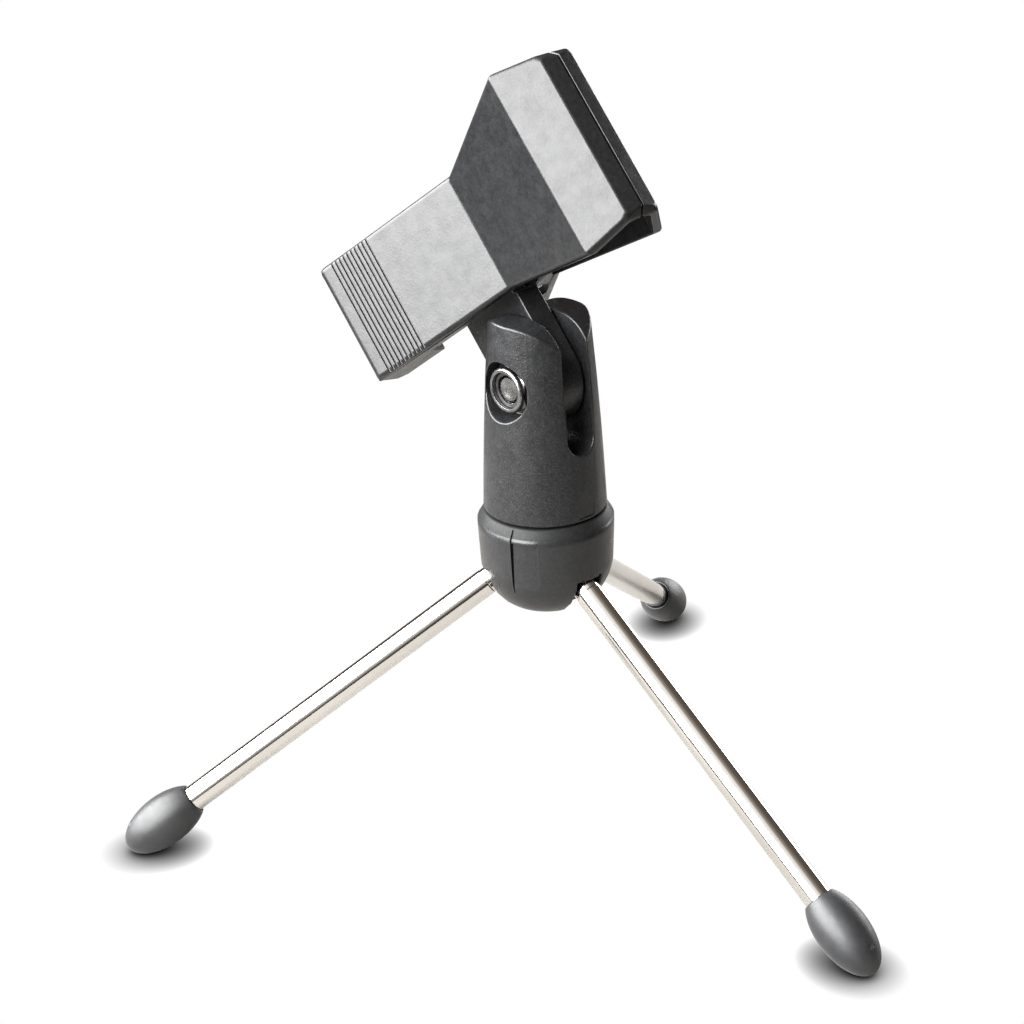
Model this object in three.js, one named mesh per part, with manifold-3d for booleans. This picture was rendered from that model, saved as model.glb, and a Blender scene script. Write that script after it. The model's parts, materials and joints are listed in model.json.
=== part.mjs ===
// Desktop mic stand: a folding three-legged base, a slotted post that turns on
// the base's stud, and a sprung clip that tilts between the post's two ears.
// Millimetres, +Z up. The clip points along +X and its two jaws lie at -Y and +Y.

import * as THREE from "three";
import { mergeVertices } from "three/addons/utils/BufferGeometryUtils.js";
import Module from "manifold-3d";

const wasm = await Module();
wasm.setup();

const DEG = Math.PI / 180;

// ---------------------------------------------------------------- dimensions

// Fits and tessellation
const GAP = 0.15; // between neighbours on one body
const RUN = 0.09; // radial, where one part turns on another
const ROUND = 48; // facets round a visible turned part
const SMALL_ROUND = 24; // facets round a small turned part

// Legs
const LEG_COUNT = 3;
const LEG_YAW = -1.8 * DEG; // first leg, measured from +X
const LEG_SLOPE = 33.6 * DEG; // below the horizontal when spread
const LEG_PIVOT = { r: 9, z: 60.4 };
const TUBE_R = 3;
const TUBE_WALL = 0.7;
const TUBE_START = 5.5; // from the pivot, along the leg
const FOOT_MOUTH = 88; // from the pivot, along the leg
const FOOT_CENTRE = 8.25; // from the mouth
const FOOT_LONG = 10.3;
const FOOT_R = 5.4;
const FOOT_INSIDE = 9; // how far the tube goes into the foot
const PIN_R = 1.5;
const PIN_LENGTH = 15;
const EYE_R = 2.9;
const SLOT_HALF = 3.4; // half of a leg slot's width

// Hub
const HUB_R = 14.95;
const HUB_TOP = 74.3;
const HUB_RIM_R = 13.5;
const HUB_RIM_DROP = 2.4;
const HUB_BOTTOM = 51.9;
const HUB_FLAT_R = 6.8;
const PANEL_DEPTH = 0.3;
const PANEL_HALF_ANGLE = 11.5 * DEG;

// Stud, its screw and the thread adaptor in the post
const STUD_R = 4.7;
const STUD_TOP = 86;
const FLANGE_R = 6.6;
const FLANGE_DEPTH = 3.8;
const SCREW_R = 2.4;
const SCREW_HEAD = { r: 4.2, height: 2.6 };
const WASHER_THICK = 0.8;
const ADAPTOR_R = 7.8;

// Post
const POST_BOTTOM = 74.8;
const POST_TOP = 118.6;
const POST_BORE = { r: 8, top: 87.4 };
const EAR_CORNER_R = 9;
const POST_SLOT = { half: 3.7, bottom: 89.6 };
const TILT_Z = 104;
const COUNTERBORE = { r: 6.5, floor: 6.5 };
const PIVOT_R = 3;
const NUT = { flats: 10, from: 6.6, to: 10.5 };
const NUT_INSERT = { r: 3.9, depth: 1.6 };
const SCREW_CAP = { r: 5, from: 6.6, to: 11 };
const FRICTION = { r: 7.5, thick: 0.5 };

// Clip, in its own frame: x forward, y across the jaws, z up, origin at the tilt screw
const CLIP_TILT = 41.5 * DEG;
const TONGUE = { half: 10.2, thick: 6, end: 25.8 };
const CLIP_CENTRE_Z = 30.3;
const JAW_WALL = 2.2;
const HANDLE_HALF = 13.8; // half of the handle's width
const MOUTH_HALF = 21; // half of the mouth's width at its widest
const LIP_HALF = 19;
const LIP_GAP = 0.2; // from the mid-plane to a closed lip
const JAW_REAR = [-20, 24];
const JAW_WAIST = [14, 7.5];
const JAW_CHEEK = [43.8, 10.7];
const JAW_NOSE = [52.7, 4.2];
const JAW_LIP = [53.6, LIP_GAP];
const HINGE_X = 12;
const KNUCKLE_R = 4.2;
const HINGE_PIN_R = 1.5;
const HINGE_PIN = { from: 17.5, to: 43.9 };
const KNUCKLES = { left: [[26.1, 28.5], [40.1, 42.5]], right: [[28.8, 31.2], [37.4, 39.8]] };
const GRIP = { count: 9, first: 3.1, pitch: 1.2, depth: 0.45, width: 0.55 };
const SKIRT = { thick: 2, deep: 10.8, deepLength: 13, shallow: 5.4, length: 27 };
const SPRING = { coilR: 2.6, wireR: 0.6, pitch: 1.3, turns: 1.25, arm: 13 };

// ---------------------------------------------------------------- helpers

function toSolid(geometry) {
  const bare = geometry.index ? geometry.toNonIndexed() : geometry.clone();
  bare.deleteAttribute("normal");
  bare.deleteAttribute("uv");
  const merged = mergeVertices(bare, 1e-4);
  return new wasm.Manifold(new wasm.Mesh({
    numProp: 3,
    vertProperties: new Float32Array(merged.attributes.position.array),
    triVerts: new Uint32Array(merged.index.array),
  }));
}

function toGeometry(solid) {
  const mesh = solid.getMesh();
  const geometry = new THREE.BufferGeometry();
  geometry.setAttribute("position", new THREE.BufferAttribute(new Float32Array(mesh.vertProperties), 3));
  geometry.setIndex(new THREE.BufferAttribute(new Uint32Array(mesh.triVerts), 1));
  return geometry;
}

// body + added - removed, each a THREE geometry
function combine(body, { add = [], common = [], cut = [] }) {
  let solid = toSolid(body);
  for (const piece of add) {
    solid = solid.add(toSolid(piece));
  }
  for (const piece of common) {
    solid = solid.intersect(toSolid(piece));
  }
  for (const piece of cut) {
    solid = solid.subtract(toSolid(piece));
  }
  return toGeometry(solid);
}

// A turned solid about +Z from [radius, z] pairs that close on themselves or on the axis
function turned(profile, facets = ROUND) {
  const points = profile.map(([r, z]) => new THREE.Vector2(r, z));
  return new THREE.LatheGeometry(points, facets).rotateX(Math.PI / 2);
}

function rod(r, from, to, facets = SMALL_ROUND) {
  return turned([[0, from], [r, from], [r, to], [0, to]], facets);
}

function ring(outer, inner, from, to, facets = SMALL_ROUND) {
  return turned([[inner, from], [outer, from], [outer, to], [inner, to], [inner, from]], facets);
}

// A flat outline in XY pushed from z = from to z = to
function plate(outline, from, to) {
  const shape = new THREE.Shape(outline.map(([x, y]) => new THREE.Vector2(x, y)));
  const flat = new THREE.ExtrudeGeometry(shape, { depth: to - from, bevelEnabled: false });
  return flat.translate(0, 0, from);
}

// Points on a circle, from one angle to another
function arc(cx, cy, r, from, to, steps = 12) {
  const points = [];
  for (let i = 0; i <= steps; i += 1) {
    const angle = from + ((to - from) * i) / steps;
    points.push([cx + r * Math.cos(angle), cy + r * Math.sin(angle)]);
  }
  return points;
}

// Turns a solid made in XY and pushed along Z so that its y runs up and its depth runs along -Y
function standUp(geometry) {
  return geometry.rotateX(Math.PI / 2);
}

function material(color, roughness, metalness = 0) {
  return () => new THREE.MeshStandardMaterial({ color, roughness, metalness });
}

const blackPlastic = material(0x3a3c3e, 0.5);
const hubPlastic = material(0x37393b, 0.5);
const nickel = material(0xd9d4ca, 0.16, 1);
const steel = material(0xb4b5b6, 0.32, 1);
const springSteel = material(0x8f9193, 0.3, 1);
const brass = material(0xb99a55, 0.35, 1);
const rubber = material(0x3e4043, 0.75);
const nylon = material(0x55585c, 0.5);

function part(name, geometry, makeMaterial) {
  const mesh = new THREE.Mesh(geometry, makeMaterial());
  mesh.name = name;
  return mesh;
}

// ---------------------------------------------------------------- hub

// Swept room for one leg, from spread to folded straight down, in the leg's own XZ plane
function legSlot(angle) {
  const reach = 40;
  const along = [Math.cos(LEG_SLOPE), -Math.sin(LEG_SLOPE)];
  const above = arc(LEG_PIVOT.r, LEG_PIVOT.z, SLOT_HALF, Math.PI, Math.PI / 2 - LEG_SLOPE);
  const tip = above[above.length - 1];
  const outline = [
    [LEG_PIVOT.r - SLOT_HALF, 0],
    ...above,
    [tip[0] + along[0] * reach, tip[1] + along[1] * reach],
    [tip[0] + along[0] * reach, 0],
  ];
  return standUp(plate(outline, -SLOT_HALF, SLOT_HALF)).rotateZ(angle);
}

function legPinHole(angle, r, length) {
  return standUp(rod(r, -length / 2, length / 2))
    .translate(LEG_PIVOT.r, 0, LEG_PIVOT.z)
    .rotateZ(angle);
}

// A shallow recess in the hub's wall, midway between two legs
function hubPanel(angle) {
  const from = 57.5;
  const to = HUB_TOP - HUB_RIM_DROP - 0.6;
  const inner = 14.6 - PANEL_DEPTH;
  const outer = HUB_R + 1;
  const near = arc(0, 0, inner, -PANEL_HALF_ANGLE, PANEL_HALF_ANGLE, 8);
  const far = arc(0, 0, outer, PANEL_HALF_ANGLE, -PANEL_HALF_ANGLE, 8);
  return plate([...near, ...far], from, to).rotateZ(angle);
}

function hubBowl() {
  const wallFoot = { r: 14.6, z: 62.5 };
  const steps = 10;
  const bowl = [];
  for (let i = 0; i <= steps; i += 1) {
    const angle = (i / steps) * 72 * DEG;
    const r = HUB_FLAT_R + (wallFoot.r - HUB_FLAT_R) * Math.cos(angle) ** 1.15;
    const z = wallFoot.z - (wallFoot.z - HUB_BOTTOM) * Math.sin(angle) ** 1.15;
    bowl.push([r, z]);
  }
  return [
    [0, HUB_TOP],
    [HUB_RIM_R, HUB_TOP],
    [HUB_R, HUB_TOP - HUB_RIM_DROP],
    [HUB_R, HUB_TOP - HUB_RIM_DROP - 1.4],
    ...bowl,
    [HUB_FLAT_R, HUB_BOTTOM],
    [0, HUB_BOTTOM],
  ];
}

function legAngles() {
  return Array.from({ length: LEG_COUNT }, (_, i) => LEG_YAW + (i * 2 * Math.PI) / LEG_COUNT);
}

function makeHub() {
  const group = new THREE.Group();
  const half = Math.PI / LEG_COUNT;
  const headFloor = HUB_BOTTOM + SCREW_HEAD.height + WASHER_THICK + 3 * GAP;
  const flangeFloor = HUB_TOP - FLANGE_DEPTH;
  const cuts = [
    rod(FLANGE_R + GAP, flangeFloor, HUB_TOP + 1, ROUND),
    rod(SCREW_R + 0.3, 0, HUB_TOP),
    rod(SCREW_HEAD.r + 0.45, 0, headFloor, ROUND),
  ];
  for (const angle of legAngles()) {
    cuts.push(legSlot(angle), legPinHole(angle, PIN_R + 0.12, PIN_LENGTH + 0.6), hubPanel(angle + half));
  }
  group.add(part("hub_body", combine(turned(hubBowl().reverse()), { cut: cuts }), hubPlastic));

  const stud = turned([
    [SCREW_R + 0.15, flangeFloor + GAP],
    [FLANGE_R, flangeFloor + GAP],
    [FLANGE_R, HUB_TOP],
    [STUD_R, HUB_TOP],
    [STUD_R, STUD_TOP - 0.6],
    [STUD_R - 0.6, STUD_TOP],
    [0, STUD_TOP],
    [0, STUD_TOP - 2.5],
    [SCREW_R + 0.15, STUD_TOP - 2.5],
    [SCREW_R + 0.15, flangeFloor + GAP],
  ], ROUND);
  group.add(part("hub_stud", stud, steel));

  const washerTop = headFloor - GAP;
  const washerBottom = washerTop - WASHER_THICK;
  group.add(part("hub_washer", ring(SCREW_HEAD.r, SCREW_R + 0.2, washerBottom, washerTop), steel));

  const headTop = washerBottom - GAP;
  const headBottom = headTop - SCREW_HEAD.height;
  const screw = combine(rod(SCREW_HEAD.r, headBottom, headTop), {
    add: [rod(SCREW_R, headTop - 0.5, STUD_TOP - 4)],
    cut: [
      new THREE.BoxGeometry(4.6, 1, 2.4).translate(0, 0, headBottom),
      new THREE.BoxGeometry(1, 4.6, 2.4).translate(0, 0, headBottom),
    ],
  });
  group.add(part("hub_screw", screw, steel));

  legAngles().forEach((angle, i) => {
    group.add(part(`leg_pin_${i + 1}`, legPinHole(angle, PIN_R, PIN_LENGTH), steel));
  });
  return group;
}

// ---------------------------------------------------------------- legs

// One leg along +X from its pivot at the origin; pitched and placed by its group
function makeLeg(index, angle) {
  const leg = new THREE.Group();
  const tubeEnd = FOOT_MOUTH + FOOT_INSIDE - 0.4;
  const tubeInner = TUBE_R - TUBE_WALL;
  const plugEnd = TUBE_START + 9;

  const eye = combine(standUp(rod(EYE_R, -EYE_R, EYE_R)), {
    add: [
      rod(tubeInner - GAP, 0, plugEnd).rotateY(Math.PI / 2),
      rod(EYE_R, 0, TUBE_START - GAP).rotateY(Math.PI / 2),
    ],
    cut: [standUp(rod(PIN_R + RUN, -5, 5))],
  });
  leg.add(part(`leg_eye_${index}`, eye, steel));

  const tube = ring(TUBE_R, tubeInner, TUBE_START, tubeEnd, ROUND).rotateY(Math.PI / 2);
  leg.add(part(`leg_tube_${index}`, tube, nickel));

  leg.add(part(`foot_${index}`, makeFoot(), rubber));
  const hinge = new THREE.Group();
  leg.rotation.y = LEG_SLOPE;
  leg.position.set(LEG_PIVOT.r, 0, LEG_PIVOT.z);
  hinge.add(leg);
  hinge.rotation.z = angle;
  return hinge;
}

// An egg-shaped tip with a blind hole for the tube and a flat patch where it stands
function makeFoot() {
  const centre = FOOT_MOUTH + FOOT_CENTRE;
  const mouthAngle = Math.acos(-FOOT_CENTRE / FOOT_LONG);
  const steps = 14;
  const profile = [[0, centre + FOOT_LONG]];
  for (let i = 1; i <= steps; i += 1) {
    const angle = (mouthAngle * i) / steps;
    profile.push([FOOT_R * Math.sin(angle) + 0.35 * (i / steps), centre + FOOT_LONG * Math.cos(angle)]);
  }
  profile.push([TUBE_R + 0.1, FOOT_MOUTH]);
  profile.push([TUBE_R + 0.1, FOOT_MOUTH + FOOT_INSIDE]);
  profile.push([0, FOOT_MOUTH + FOOT_INSIDE]);
  const egg = turned(profile.reverse(), ROUND).rotateY(Math.PI / 2);
  const depth = 40;
  const ground = new THREE.BoxGeometry(400, depth, depth)
    .translate(0, 0, -depth / 2 - LEG_PIVOT.z)
    .rotateY(-LEG_SLOPE);
  return combine(egg, { cut: [ground] });
}

// ---------------------------------------------------------------- post

function postRadius(z) {
  const t = (z - POST_BOTTOM) / (POST_TOP - POST_BOTTOM);
  return 13.5 - 1.6 * t - 1.1 * t * t;
}

function postBlank() {
  const edge = 0.5;
  const profile = [[0, POST_BOTTOM], [postRadius(POST_BOTTOM) - edge, POST_BOTTOM]];
  const steps = 8;
  for (let i = 0; i <= steps; i += 1) {
    const z = POST_BOTTOM + edge + ((POST_TOP - edge - POST_BOTTOM - edge) * i) / steps;
    profile.push([postRadius(z), z]);
  }
  profile.push([postRadius(POST_TOP) - edge, POST_TOP], [0, POST_TOP]);
  return turned(profile);
}

// A box-sided outline with rounded top corners, which the two ears follow
function earOutline() {
  const half = 14;
  const width = postRadius(POST_TOP - EAR_CORNER_R);
  const cornerX = width - EAR_CORNER_R;
  const cornerZ = POST_TOP - EAR_CORNER_R;
  return standUp(plate([
    [-half, POST_BOTTOM - 1],
    [half, POST_BOTTOM - 1],
    [half, cornerZ],
    ...arc(cornerX, cornerZ, EAR_CORNER_R, 0, Math.PI / 2),
    ...arc(-cornerX, cornerZ, EAR_CORNER_R, Math.PI / 2, Math.PI),
    [-half, cornerZ],
  ], -20, 20));
}

function postSlot() {
  const { half, bottom } = POST_SLOT;
  const outline = [
    ...arc(0, bottom + half, half, Math.PI, 2 * Math.PI),
    [half, POST_TOP + 5],
    [-half, POST_TOP + 5],
  ];
  return standUp(plate(outline, -20, 20)).rotateZ(Math.PI / 2);
}

// A turned solid about the tilt screw: z of the profile runs along -Y
function acrossPost(geometry) {
  return standUp(geometry).translate(0, 0, TILT_Z);
}

function hexNut(flats, from, to) {
  const corner = flats / 2 / Math.cos(Math.PI / 6);
  const outline = arc(0, 0, corner, 0, 2 * Math.PI, 6).slice(0, 6);
  return plate(outline, from, to);
}

function makePost() {
  const group = new THREE.Group();
  const markDepth = 0.3;
  const mark = new THREE.BoxGeometry(2, 4.6, 6).translate(13.4 - markDepth + 1, 0, POST_BOTTOM + 3.6);
  const body = combine(postBlank(), {
    common: [earOutline()],
    cut: [
      postSlot(),
      rod(POST_BORE.r, POST_BOTTOM - 1, POST_BORE.top, ROUND),
      acrossPost(rod(PIVOT_R + GAP, -20, 20)),
      acrossPost(rod(COUNTERBORE.r, COUNTERBORE.floor, 20, 48)),
      acrossPost(rod(COUNTERBORE.r, -20, -COUNTERBORE.floor, 48)),
      mark,
      mark.clone().rotateZ(Math.PI),
    ],
  });
  group.add(part("post", body, blackPlastic));

  const adaptor = ring(ADAPTOR_R, STUD_R + RUN, POST_BOTTOM + 0.2, POST_BORE.top - 0.6, ROUND);
  group.add(part("thread_adaptor", adaptor, brass));

  const screw = combine(rod(PIVOT_R, -SCREW_CAP.from - 0.5, NUT.to - 0.3), {
    add: [rod(SCREW_CAP.r, -SCREW_CAP.to, -SCREW_CAP.from)],
    cut: [hexNut(4.6, -SCREW_CAP.to - 1, -SCREW_CAP.to + 2.6)],
  });
  group.add(part("tilt_screw", acrossPost(screw), steel));

  const insertFloor = NUT.to - NUT_INSERT.depth;
  const nut = combine(hexNut(NUT.flats, NUT.from, NUT.to), {
    common: [turned([
      [0, NUT.from],
      [5.7, NUT.from],
      [5.7, NUT.to - 1.4],
      [4.7, NUT.to],
      [0, NUT.to],
    ], 48)],
    cut: [rod(PIVOT_R + GAP, 0, 20), rod(NUT_INSERT.r + 0.1, insertFloor, 20)],
  });
  group.add(part("lock_nut", acrossPost(nut), steel));
  const insert = ring(NUT_INSERT.r, PIVOT_R + GAP, insertFloor + 0.1, NUT.to - 0.3);
  group.add(part("lock_nut_insert", acrossPost(insert), nylon));

  const inner = TONGUE.thick / 2 + 0.1;
  const outer = inner + FRICTION.thick;
  const washer = ring(FRICTION.r, PIVOT_R + 0.2, inner, outer);
  group.add(part("friction_washer_right", acrossPost(washer), nylon));
  const mirrored = ring(FRICTION.r, PIVOT_R + 0.2, -outer, -inner);
  group.add(part("friction_washer_left", acrossPost(mirrored), nylon));
  return group;
}

// ---------------------------------------------------------------- clip

// Moves each side of an open line inwards by a distance, and meets the sides again at the corners
function offsetLine(points, distance) {
  const lines = [];
  for (let i = 0; i + 1 < points.length; i += 1) {
    const [x0, y0] = points[i];
    const [x1, y1] = points[i + 1];
    const length = Math.hypot(x1 - x0, y1 - y0);
    const n = [(y1 - y0) / length, -(x1 - x0) / length];
    lines.push({ p: [x0 + n[0] * distance, y0 + n[1] * distance], d: [x1 - x0, y1 - y0] });
  }
  const result = [lines[0].p];
  for (let i = 0; i + 1 < lines.length; i += 1) {
    const a = lines[i];
    const b = lines[i + 1];
    const cross = a.d[0] * b.d[1] - a.d[1] * b.d[0];
    const t = ((b.p[0] - a.p[0]) * b.d[1] - (b.p[1] - a.p[1]) * b.d[0]) / cross;
    result.push([a.p[0] + a.d[0] * t, a.p[1] + a.d[1] * t]);
  }
  const last = lines[lines.length - 1];
  result.push([last.p[0] + last.d[0], last.p[1] + last.d[1]]);
  return result;
}

// The handle's direction from rear to waist, and the way from its face towards the mid-plane
const handleLength = Math.hypot(JAW_WAIST[0] - JAW_REAR[0], JAW_WAIST[1] - JAW_REAR[1]);
const handleAlong = [
  (JAW_WAIST[0] - JAW_REAR[0]) / handleLength,
  (JAW_WAIST[1] - JAW_REAR[1]) / handleLength,
];
const handleIn = [handleAlong[1], -handleAlong[0]];

function onHandle(along, inward) {
  return [
    JAW_REAR[0] + handleAlong[0] * along + handleIn[0] * inward,
    JAW_REAR[1] + handleAlong[1] * along + handleIn[1] * inward,
  ];
}

function jawWall() {
  const outer = [JAW_REAR, JAW_WAIST, JAW_CHEEK, JAW_NOSE, JAW_LIP];
  const inner = offsetLine(outer, JAW_WALL);
  inner[inner.length - 1][1] = LIP_GAP;
  return plate([...outer, ...inner.reverse()], CLIP_CENTRE_Z - 25, CLIP_CENTRE_Z + 25);
}

// The jaw's outline seen square to its face, as wide as the jaw is at each place
function jawOutline() {
  const z = CLIP_CENTRE_Z;
  const side = [
    [-40, HANDLE_HALF],
    [JAW_WAIST[0], HANDLE_HALF],
    [JAW_CHEEK[0], MOUTH_HALF],
    [JAW_NOSE[0], LIP_HALF],
    [60, LIP_HALF],
  ];
  const top = side.map(([x, half]) => [x, z + half]);
  const bottom = side.map(([x, half]) => [x, z - half]).reverse();
  return standUp(plate([...top, ...bottom], -40, 40));
}

function jawSkirt(from, to) {
  const { deep, deepLength, shallow, length } = SKIRT;
  const inset = 0.8;
  return plate([
    onHandle(0, inset),
    onHandle(length, inset),
    onHandle(length, JAW_WALL),
    onHandle(length - 3, shallow),
    onHandle(deepLength, shallow),
    onHandle(deepLength, deep),
    onHandle(2, deep),
    onHandle(0, deep - 2),
  ], from, to);
}

function jawKnuckle([from, to]) {
  const web = plate([
    [HINGE_X - KNUCKLE_R, 0],
    [HINGE_X + KNUCKLE_R, 0],
    [HINGE_X + KNUCKLE_R, 6.2],
    [HINGE_X - KNUCKLE_R, 7.4],
  ], from, to);
  return [rod(KNUCKLE_R, from, to).translate(HINGE_X, 0, 0), web];
}

function gripGrooves() {
  const { count, first, pitch, depth, width } = GRIP;
  return Array.from({ length: count }, (_, i) => {
    const along = first + i * pitch;
    return plate([
      onHandle(along - width / 2, -1),
      onHandle(along + width / 2, -1),
      onHandle(along, depth),
    ], 0, 60);
  });
}

// One jaw with its distance from the mid-plane along +y; side "right" is mirrored to -y
function jawGeometry(side) {
  const near = CLIP_CENTRE_Z - HANDLE_HALF;
  const far = CLIP_CENTRE_Z + HANDLE_HALF;
  const solid = combine(jawWall(), {
    common: [jawOutline()],
    add: [
      jawSkirt(near, near + SKIRT.thick),
      jawSkirt(far - SKIRT.thick, far),
      ...KNUCKLES[side].flatMap(jawKnuckle),
    ],
    cut: [rod(HINGE_PIN_R + RUN, 0, 60).translate(HINGE_X, 0, 0), ...gripGrooves()],
  });
  return side === "right" ? mirrorY(solid) : solid;
}

function mirrorY(geometry) {
  const mirrored = geometry.clone();
  const position = mirrored.attributes.position;
  for (let i = 0; i < position.count; i += 1) {
    position.setY(i, -position.getY(i));
  }
  const index = mirrored.index.array;
  for (let i = 0; i < index.length; i += 3) {
    [index[i], index[i + 1]] = [index[i + 1], index[i]];
  }
  return mirrored;
}

// Half of the hinge spring: a coil round the pin, and an arm that lies on one handle
function springHalf(z, side) {
  const { coilR, wireR, pitch, turns, arm } = SPRING;
  const flip = side === "right" ? -1 : 1;
  const slope = Math.atan2(-handleAlong[1], handleAlong[0]) - 8 * DEG;
  const leave = Math.PI / 2 - slope; // where the arm's line touches the coil
  const points = [];
  const stepsPerTurn = 12;
  const steps = Math.round(turns * stepsPerTurn);
  for (let i = 0; i <= steps; i += 1) {
    const angle = leave + ((i - steps) / stepsPerTurn) * 2 * Math.PI;
    const x = HINGE_X + coilR * Math.cos(angle);
    const y = coilR * Math.sin(angle);
    points.push(new THREE.Vector3(x, flip * y, z - flip * pitch * (1 - i / stepsPerTurn / turns) * turns));
  }
  const end = points[points.length - 1];
  const away = new THREE.Vector3(-Math.cos(slope), flip * Math.sin(slope), 0);
  for (const length of [arm * 0.25, arm * 0.6, arm]) {
    points.push(end.clone().addScaledVector(away, length));
  }
  const section = new THREE.Shape(arc(0, 0, wireR, 0, 2 * Math.PI, 8).slice(0, 8)
    .map(([x, y]) => new THREE.Vector2(x, y)));
  const path = new THREE.CatmullRomCurve3(points, false, "centripetal");
  return new THREE.ExtrudeGeometry(section, { extrudePath: path, steps: 40, bevelEnabled: false });
}

function bracketGeometry() {
  const { half, thick, end } = TONGUE;
  const barrelFrom = CLIP_CENTRE_Z - HANDLE_HALF + 0.5;
  const tongue = standUp(plate([
    ...arc(0, 0, half, Math.PI, 2 * Math.PI, 24),
    [half, end],
    [-half + 3, end],
    [-half, end - 3],
  ], -thick / 2, thick / 2));
  return combine(tongue, {
    add: [
      rod(KNUCKLE_R, barrelFrom, end).translate(HINGE_X, 0, 0),
      new THREE.BoxGeometry(6, thick, end - barrelFrom).translate(9, 0, (end + barrelFrom) / 2),
    ],
    cut: [
      standUp(rod(PIVOT_R + RUN, -20, 20)),
      rod(HINGE_PIN_R + RUN, 0, 60).translate(HINGE_X, 0, 0),
    ],
  });
}

function makeClip() {
  const clip = new THREE.Group();
  clip.add(part("clip_bracket", bracketGeometry(), blackPlastic));
  clip.add(part("jaw_right", jawGeometry("right"), blackPlastic));
  clip.add(part("jaw_left", jawGeometry("left"), blackPlastic));

  const { from, to } = HINGE_PIN;
  clip.add(part("hinge_pin", rod(HINGE_PIN_R, from, to).translate(HINGE_X, 0, 0), steel));
  const clipRing = ring(2.6, HINGE_PIN_R + GAP, 42.8, 43.4).translate(HINGE_X, 0, 0);
  clip.add(part("pin_clip", clipRing, springSteel));
  clip.add(part("hinge_spring_right", springHalf(32, "right"), springSteel));
  clip.add(part("hinge_spring_left", springHalf(36.7, "left"), springSteel));
  clip.position.z = TILT_Z;
  clip.rotation.y = -CLIP_TILT;
  return clip;
}

// ---------------------------------------------------------------- assembly

function makeStand() {
  const stand = new THREE.Group();
  stand.add(makeHub());
  legAngles().forEach((angle, i) => stand.add(makeLeg(i + 1, angle)));
  stand.add(makePost());
  stand.add(makeClip());

  // The origin goes to the middle of the footprint, on the ground
  stand.updateMatrixWorld(true);
  const box = new THREE.Box3().setFromObject(stand, true);
  stand.position.set(-(box.min.x + box.max.x) / 2, -(box.min.y + box.max.y) / 2, -box.min.z);
  return stand;
}

export default makeStand();
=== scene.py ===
"""Looks for the desktop mic stand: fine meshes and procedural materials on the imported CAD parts.

Shapes are built in millimetres, each in the frame of the body it belongs to, then put in place
in metres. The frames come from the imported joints, so every piece lies where its CAD node does.
"""

import json
import math

import bmesh
import bpy
from mathutils import Matrix, Vector
from mathutils.bvhtree import BVHTree


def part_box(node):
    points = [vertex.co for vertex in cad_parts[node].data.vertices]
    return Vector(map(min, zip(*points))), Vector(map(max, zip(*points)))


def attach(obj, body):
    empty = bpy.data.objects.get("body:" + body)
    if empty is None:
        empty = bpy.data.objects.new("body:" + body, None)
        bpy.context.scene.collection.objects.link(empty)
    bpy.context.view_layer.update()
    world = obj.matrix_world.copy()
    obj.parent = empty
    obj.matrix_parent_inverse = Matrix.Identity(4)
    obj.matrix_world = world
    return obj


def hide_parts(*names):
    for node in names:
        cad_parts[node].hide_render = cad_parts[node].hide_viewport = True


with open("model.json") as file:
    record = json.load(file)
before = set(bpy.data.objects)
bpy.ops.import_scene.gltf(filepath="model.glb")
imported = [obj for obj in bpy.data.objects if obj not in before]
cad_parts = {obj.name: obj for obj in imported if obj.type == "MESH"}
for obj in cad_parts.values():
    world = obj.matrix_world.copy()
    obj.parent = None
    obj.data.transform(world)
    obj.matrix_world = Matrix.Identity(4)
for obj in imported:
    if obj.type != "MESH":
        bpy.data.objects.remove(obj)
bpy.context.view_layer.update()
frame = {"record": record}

MM = 0.001
ROUND = 96  # facets round a large turned piece
SMALL_ROUND = 48  # facets round a small one

# ---------------------------------------------------------------- places, from the frame

JOINTS = {joint["name"]: joint for joint in frame["record"]["behaviour"]["joints"]}
HUB_AXIS = Vector(JOINTS["post_swivel"]["pos_m"])
HUB_AXIS.z = 0
TILT_POINT = Vector(JOINTS["clip_tilt"]["pos_m"])
HINGE_AXIS = Vector(JOINTS["jaw_open"]["axis"])
CLIP_TILT = math.atan2(HINGE_AXIS.x, -HINGE_AXIS.z)
LEG_SLOPE = math.radians(33.6)

STAND = Matrix.Translation(HUB_AXIS)
TILT = Matrix.Translation(TILT_POINT)
CLIP = TILT @ Matrix.Rotation(-CLIP_TILT, 4, "Y")
STAND_UP = Matrix.Rotation(math.pi / 2, 4, "X")  # y of an outline goes up, its depth towards -Y
ALONG_X = Matrix.Rotation(math.pi / 2, 4, "Y")  # z of a turned piece goes along +X

HUB_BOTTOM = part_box("hub_body")[0].z / MM
HUB_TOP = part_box("hub_body")[1].z / MM
POST_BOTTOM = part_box("post")[0].z / MM
POST_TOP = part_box("post")[1].z / MM


def leg_heading(number):
    """The angle about +Z that a leg points along."""
    axis = Vector(JOINTS[f"leg_{number}_fold"]["axis"])
    return math.atan2(-axis.x, axis.y)


def leg_frame(number):
    """A leg's own frame: its origin on the pin, +X along the tube towards the foot."""
    pivot = Matrix.Translation(Vector(JOINTS[f"leg_{number}_fold"]["pos_m"]))
    turn = Matrix.Rotation(leg_heading(number), 4, "Z")
    return pivot @ turn @ Matrix.Rotation(LEG_SLOPE, 4, "Y")


# ---------------------------------------------------------------- sizes in millimetres

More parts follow.
